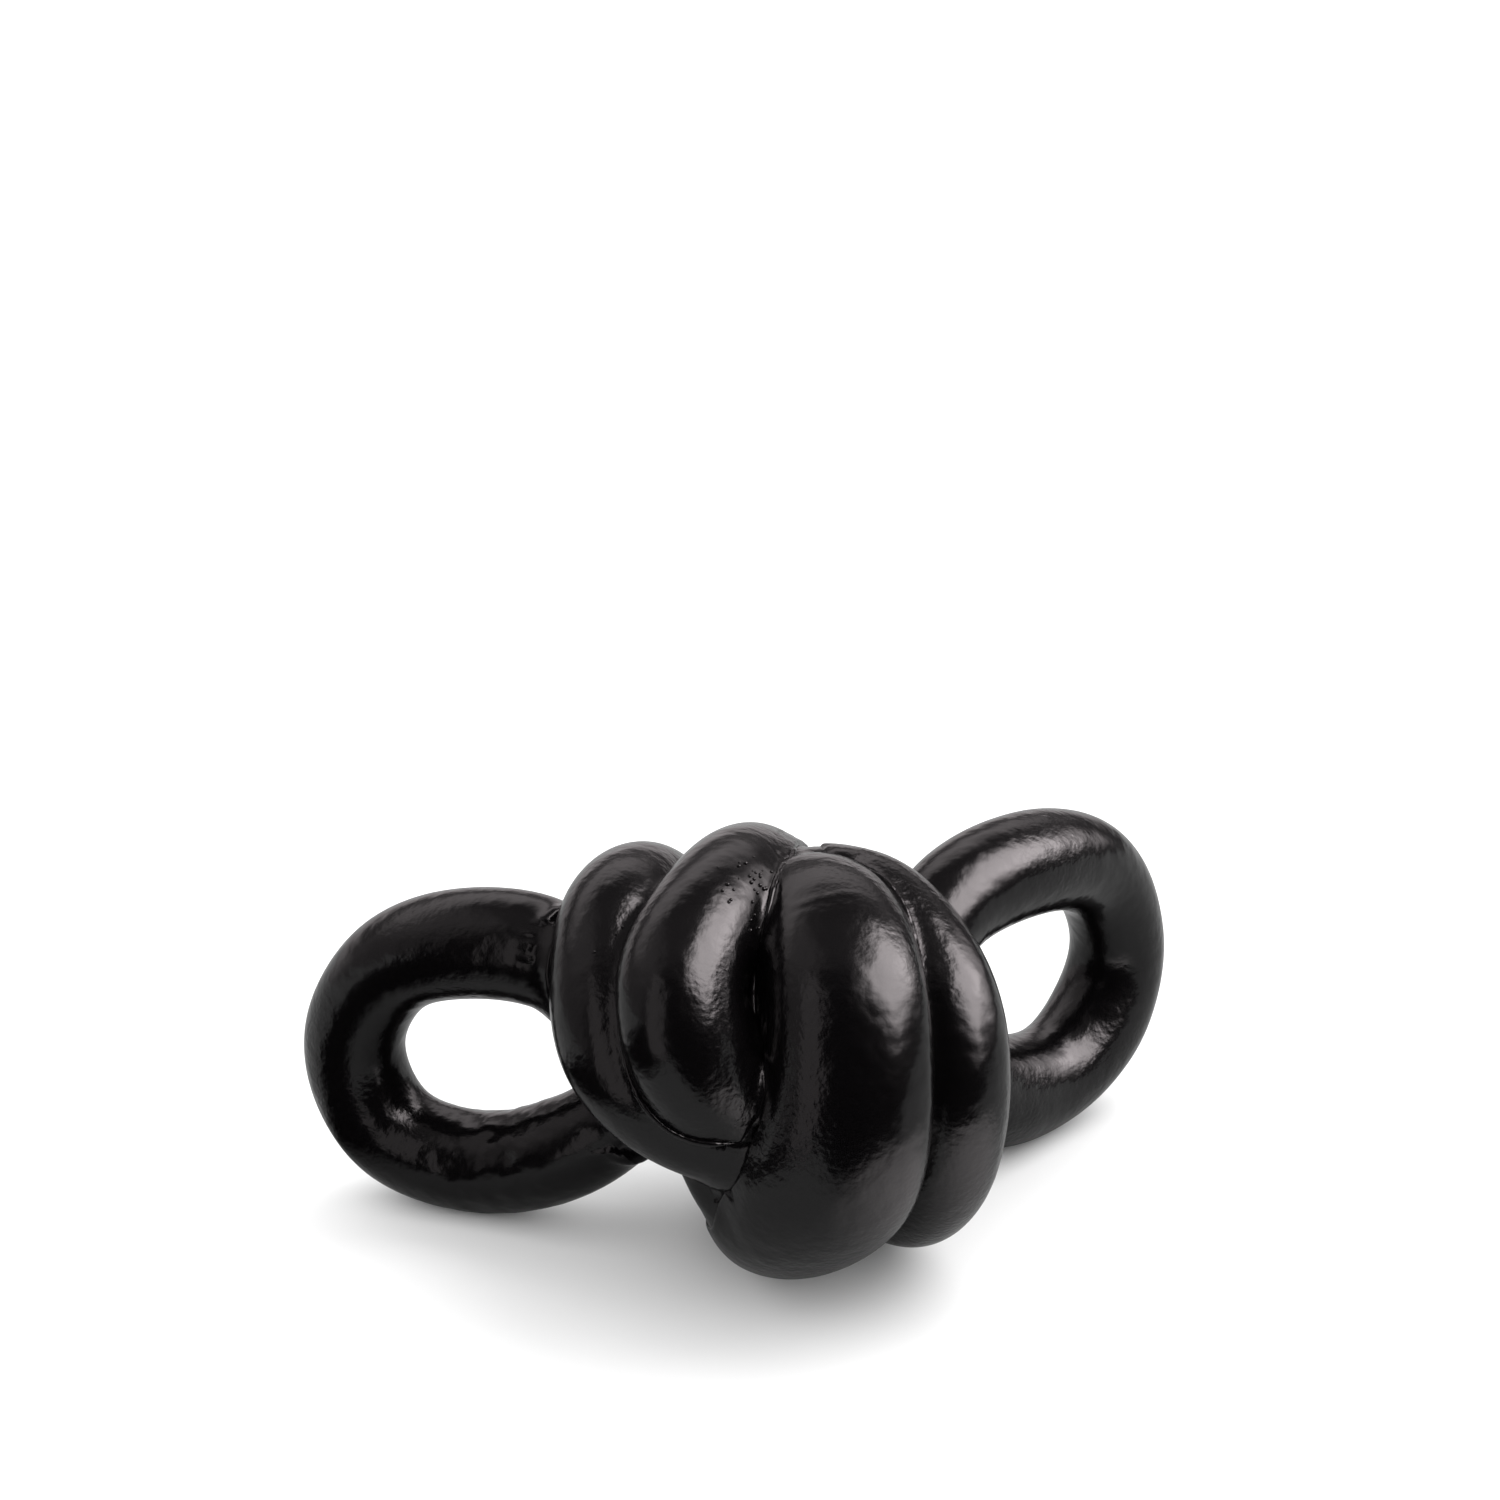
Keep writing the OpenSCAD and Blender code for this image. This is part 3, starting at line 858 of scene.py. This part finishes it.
def soft_panel(tree, vector, azimuth, elevation, half_width, half_height, edge, tilt):
    """Brightness of a distant soft panel: 1 inside it and fading to 0 across its edge.
    Azimuth 0 is behind the object and 90 is at its right; the half sizes are in degrees."""
    a, e = math.radians(azimuth), math.radians(elevation)
    ahead = Vector((math.sin(a) * math.cos(e), math.cos(a) * math.cos(e), math.sin(e)))
    right = ahead.cross(Vector((0, 0, 1))).normalized()
    up = right.cross(ahead)
    c, t = math.cos(math.radians(tilt)), math.sin(math.radians(tilt))
    right, up = right * c + up * t, up * c - right * t
    depth = dot_node(tree, vector, ahead)
    inside = ramp_node(tree, depth, 0.0, 0.1)
    for axis, half in ((right, half_width), (up, half_height)):
        offset = math_node(tree, "ABSOLUTE", dot_node(tree, vector, axis))
        offset = math_node(tree, "DIVIDE", offset, math_node(tree, "MAXIMUM", depth, 0.01))
        limit = math.tan(math.radians(half))
        share = ramp_node(tree, offset, limit * (1 + edge), limit * (1 - edge))
        inside = math_node(tree, "MULTIPLY", inside, share)
    return inside


def world_light(settings):
    """Soft panels far away round the object, which show in its gloss, and a pale backdrop."""
    world = bpy.data.worlds.new("studio")
    world.use_nodes = True
    world.cycles_visibility.diffuse = False
    tree = world.node_tree
    coord = tree.nodes.new("ShaderNodeTexCoord")
    total = 0.0
    for *shape, bright in PANELS:
        inside = soft_panel(tree, coord.outputs["Generated"], *shape)
        total = math_node(tree, "MULTIPLY_ADD", inside, bright, total)
    path = tree.nodes.new("ShaderNodeLightPath")
    seen = math_node(tree, "MULTIPLY", path.outputs["Is Camera Ray"], settings.backdrop_light)
    unseen = math_node(tree, "SUBTRACT", 1.0, path.outputs["Is Camera Ray"])
    unseen = math_node(tree, "MULTIPLY", unseen, total)
    back = tree.nodes["Background"]
    # The backdrop itself is white, and only its reflections have the light's tint
    tint = tree.nodes.new("ShaderNodeMix")
    tint.data_type = "RGBA"
    tint.inputs["A"].default_value = (*LIGHT_TINT, 1.0)
    tint.inputs["B"].default_value = (1.0, 1.0, 1.0, 1.0)
    link(tree, path.outputs["Is Camera Ray"], tint.inputs["Factor"])
    link(tree, tint.outputs["Result"], back.inputs["Color"])
    link(tree, math_node(tree, "ADD", seen, unseen), back.inputs["Strength"])
    bpy.context.scene.world = world


def place_light(light, azimuth, elevation, distance):
    """Put a light in a direction from the knot's middle, facing it."""
    obj = bpy.data.objects.new(light.name, light)
    bpy.context.scene.collection.objects.link(obj)
    a, e = math.radians(azimuth), math.radians(elevation)
    away = Vector((math.sin(a) * math.cos(e), math.cos(a) * math.cos(e), math.sin(e)))
    obj.location = Vector(MIDDLE * MM) + away * distance
    obj.rotation_euler = away.to_track_quat("Z", "Y").to_euler()
    return obj


def sky_light(name, strength, spread, azimuth, elevation):
    """A very soft light on the floor that leaves no highlight in the enamel."""
    light = bpy.data.lights.new(name, "SUN")
    light.energy = strength
    light.angle = math.radians(spread)
    obj = place_light(light, azimuth, elevation, LIGHT_DISTANCE)
    obj.visible_glossy = False
    obj.visible_camera = False


def white_card(settings):
    """A white card at the front left, which the left side of each turn mirrors."""
    light = bpy.data.lights.new("white_card", "AREA")
    light.shape = "RECTANGLE"
    light.color = LIGHT_TINT
    light.size, light.size_y = settings.card_size
    light.energy = settings.card_light * math.pi * light.size * light.size_y
    obj = place_light(light, *CARD_PLACE)
    obj.visible_diffuse = False
    obj.visible_camera = False


class KNOT_OT_stage(bpy.types.Operator):
    """Build the floor, the studio light and the camera"""

    bl_idname = "knot.stage"
    bl_label = "Stage"

    def execute(self, context):
        scene = context.scene
        settings = scene.stage_settings
        mesh = bpy.data.meshes.new("floor")
        half = FLOOR_HALF
        corners = [(-half, -half, 0), (half, -half, 0), (half, half, 0), (-half, half, 0)]
        mesh.from_pydata(corners, [], [(0, 1, 2, 3)])
        floor = bpy.data.objects.new("floor", mesh)
        scene.collection.objects.link(floor)
        mat = bpy.data.materials.new("floor_paint")
        mat.use_nodes = True
        bsdf = mat.node_tree.nodes["Principled BSDF"]
        # Painted shade in reflections: seen in the enamel's gloss, the floor is darker than to the eye, and
        # black far ahead at the right of the strip and at the left, though not at the far left
        nodes, tree = mat.node_tree.nodes, mat.node_tree
        coord, path = nodes.new("ShaderNodeTexCoord"), nodes.new("ShaderNodeLightPath")
        place = coord.outputs["Object"]
        far = ramp_node(tree, dot_node(tree, place, STRIP_AHEAD), *FLOOR_EDGE)
        across = dot_node(tree, place, STRIP_ACROSS)
        right = ramp_node(tree, across, *RIGHT_EDGE)
        left = ramp_node(tree, dot_node(tree, place, LEFT), *LEFT_EDGE)
        lit_left = ramp_node(tree, dot_node(tree, place, FAR_LEFT), *FAR_LEFT_EDGE)
        left = math_node(tree, "MULTIPLY", left, math_node(tree, "SUBTRACT", 1.0, lit_left))
        beside = math_node(tree, "MAXIMUM", math_node(tree, "MULTIPLY", far, right), left)
        painted_shade = math_node(tree, "MULTIPLY_ADD", beside, FLOOR_SHARE, 1.0 - FLOOR_SHARE)
        painted_shade = math_node(tree, "MULTIPLY", painted_shade, path.outputs["Is Glossy Ray"])
        mix = nodes.new("ShaderNodeMix")
        mix.data_type = "RGBA"
        mix.inputs["A"].default_value = (*settings.floor_colour, 1.0)
        mix.inputs["B"].default_value = (0.0, 0.0, 0.0, 1.0)
        link(tree, painted_shade, mix.inputs["Factor"])
        link(tree, mix.outputs["Result"], bsdf.inputs["Base Color"])
        # Painted glow: at the right the floor emits light that only glossy rays see, a painted reflection in
        # the enamel
        apart = nodes.new("ShaderNodeVectorMath")
        apart.operation = "DISTANCE"
        link(tree, place, apart.inputs[0])
        apart.inputs[1].default_value = PAINTED_GLOW_PLACE
        painted_glow = ramp_node(tree, apart.outputs["Value"], PAINTED_GLOW_REACH, 0.3 * PAINTED_GLOW_REACH)
        painted_glow = math_node(tree, "MULTIPLY", painted_glow, path.outputs["Is Glossy Ray"])
        link(tree, math_node(tree, "MULTIPLY", painted_glow, PAINTED_GLOW_LIGHT), bsdf.inputs["Emission Strength"])
        bsdf.inputs["Emission Color"].default_value = (*LIGHT_TINT, 1.0)
        bsdf.inputs["Roughness"].default_value = 0.9
        bsdf.inputs["Specular IOR Level"].default_value = 0.0
        mesh.materials.append(mat)
        world_light(settings)
        sky_light("overhead", settings.overhead_light, *OVERHEAD_PLACE)
        sky_light("window", settings.window_light, *WINDOW_PLACE)
        white_card(settings)
        middle = Vector(MIDDLE * MM)
        camera = bpy.data.objects.new("camera", bpy.data.cameras.new("camera"))
        scene.collection.objects.link(camera)
        pitch = PITCH * MM
        camera.location = middle + Vector(CAMERA_PLACE) * pitch
        camera.rotation_euler = (math.radians(CAMERA_TILT), 0.0, 0.0)
        camera.data.angle = math.radians(CAMERA_VIEW)
        camera.data.clip_end = 60.0
        scene.camera = camera
        scene.view_settings.view_transform = "Standard"
        return {"FINISHED"}


class KNOT_PT_panel(bpy.types.Panel):
    """Sizes, colours and pieces of the knot"""

    bl_idname = "KNOT_PT_panel"
    bl_label = "Metal knot"
    bl_space_type = "VIEW_3D"
    bl_region_type = "UI"
    bl_category = "Knot"

    def draw(self, context):
        for group in (context.scene.knot_settings, context.scene.stage_settings):
            for name in group.__annotations__:
                self.layout.prop(group, name)
        for operator in OPERATORS:
            self.layout.operator(operator.bl_idname)


OPERATORS = (KNOT_OT_loops, KNOT_OT_wraps, KNOT_OT_back, KNOT_OT_stage)
CLASSES = (KnotSettings, StageSettings, *OPERATORS, KNOT_PT_panel)


def register():
    for cls in CLASSES:
        bpy.utils.register_class(cls)
    bpy.types.Scene.knot_settings = bpy.props.PointerProperty(type=KnotSettings)
    bpy.types.Scene.stage_settings = bpy.props.PointerProperty(type=StageSettings)


def unregister():
    del bpy.types.Scene.stage_settings
    del bpy.types.Scene.knot_settings
    for cls in reversed(CLASSES):
        bpy.utils.unregister_class(cls)


def main():
    register()
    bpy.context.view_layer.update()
    bpy.ops.knot.loops()
    bpy.ops.knot.wraps()
    bpy.ops.knot.back()
    bpy.ops.knot.stage()


if __name__ == "__main__":
    main()
